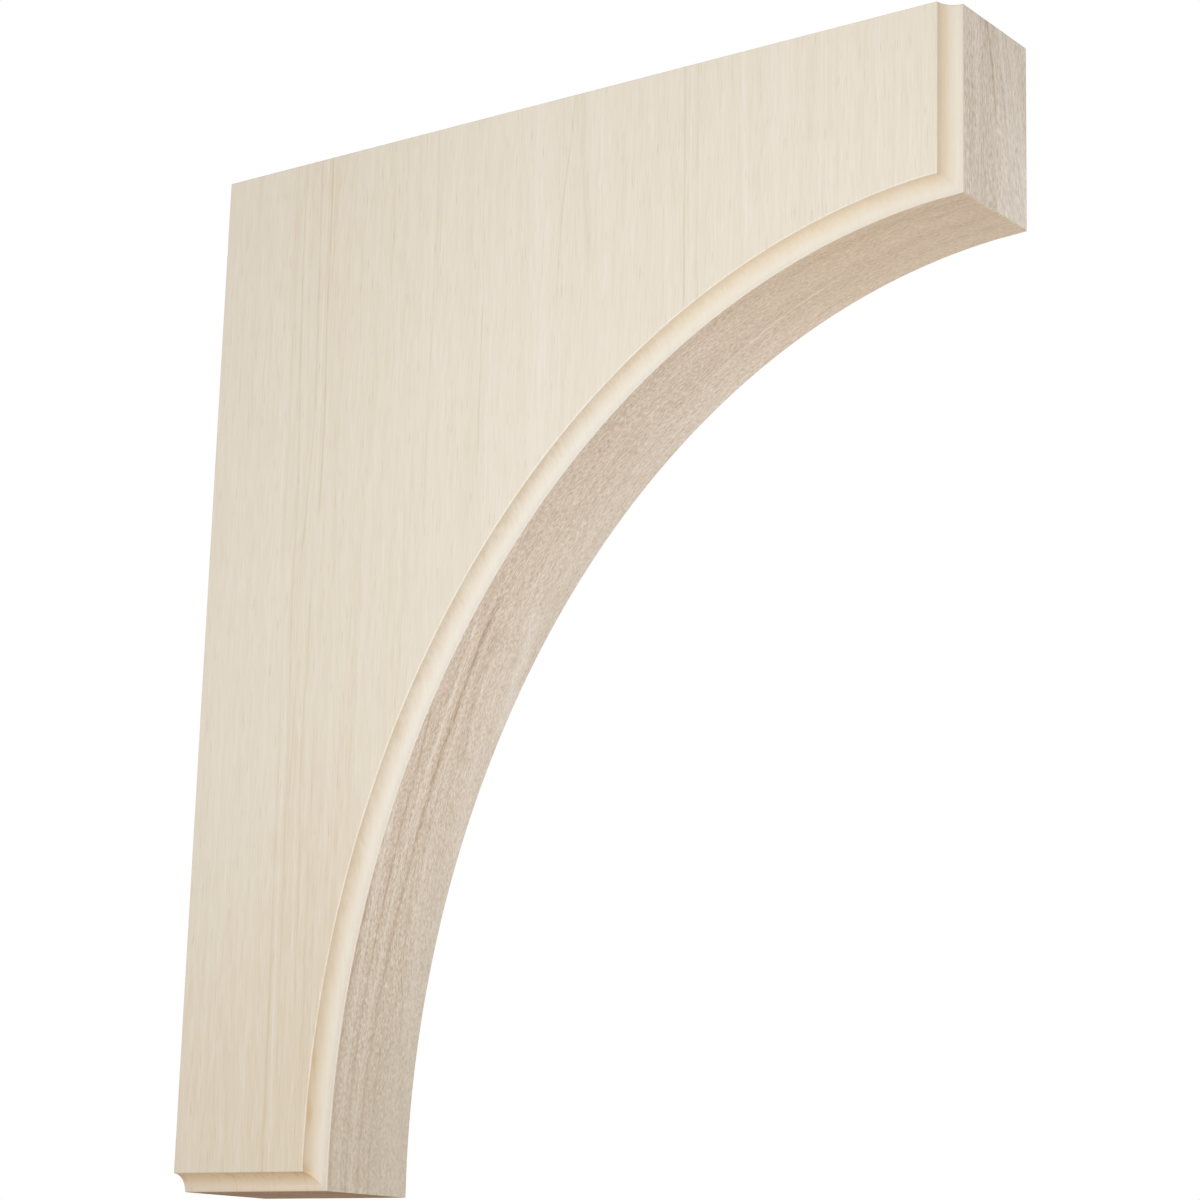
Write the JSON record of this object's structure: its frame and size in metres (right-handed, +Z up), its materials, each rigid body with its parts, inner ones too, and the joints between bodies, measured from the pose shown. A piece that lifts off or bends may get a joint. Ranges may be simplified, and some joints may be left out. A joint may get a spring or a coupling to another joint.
{
  "type": "corbel bracket",
  "caption": "Solid wooden corbel bracket with an arched underside and coved front edges, fixed to a wall to carry a beam, shelf or eave.",
  "frame": {"origin": "middle of the flat back face that goes against the wall", "axes": "+X out from the wall towards the nose, +Y across the thickness, +Z up; the broad faces look along -Y and +Y"},
  "size_m": [0.508, 0.0888, 0.6096],
  "materials": {
    "bare_wood": "planed and sanded, unfinished"
  },
  "bodies": {
    "root": {"corbel_bracket": "bare_wood"}
  },
  "joints": []
}
